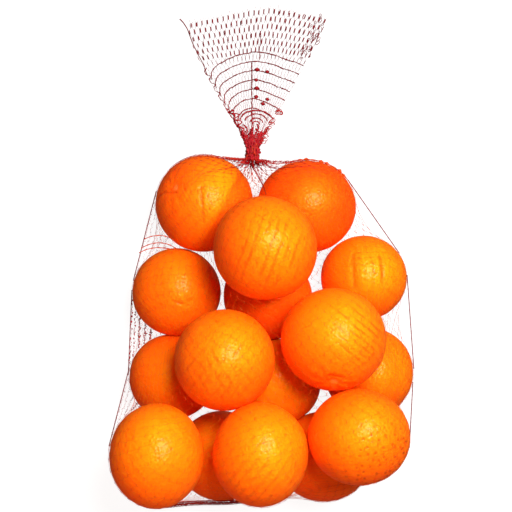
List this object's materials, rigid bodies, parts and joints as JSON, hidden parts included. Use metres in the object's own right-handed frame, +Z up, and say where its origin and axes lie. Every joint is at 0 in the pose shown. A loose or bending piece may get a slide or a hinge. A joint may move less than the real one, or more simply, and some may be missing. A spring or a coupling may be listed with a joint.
{
  "type": "net bag of mandarins",
  "caption": "Red knitted net bag of mandarins lying on its back, sewn flat at the foot and bunched at the neck, its open end spread in a fan.",
  "frame": {"origin": "on the ground under the middle of the bag's length and width", "axes": "+Y along the bag from its sewn foot to the fan of its neck, +Z up through the shown side, +X to the right as seen from above with the neck away"},
  "size_m": [0.1928, 0.328, 0.114],
  "materials": {
    "mandarins_in_net": "waxy orange peel under a thin red knitted net"
  },
  "bodies": {
    "root": {"net_bag": "mandarins_in_net"}
  },
  "joints": []
}
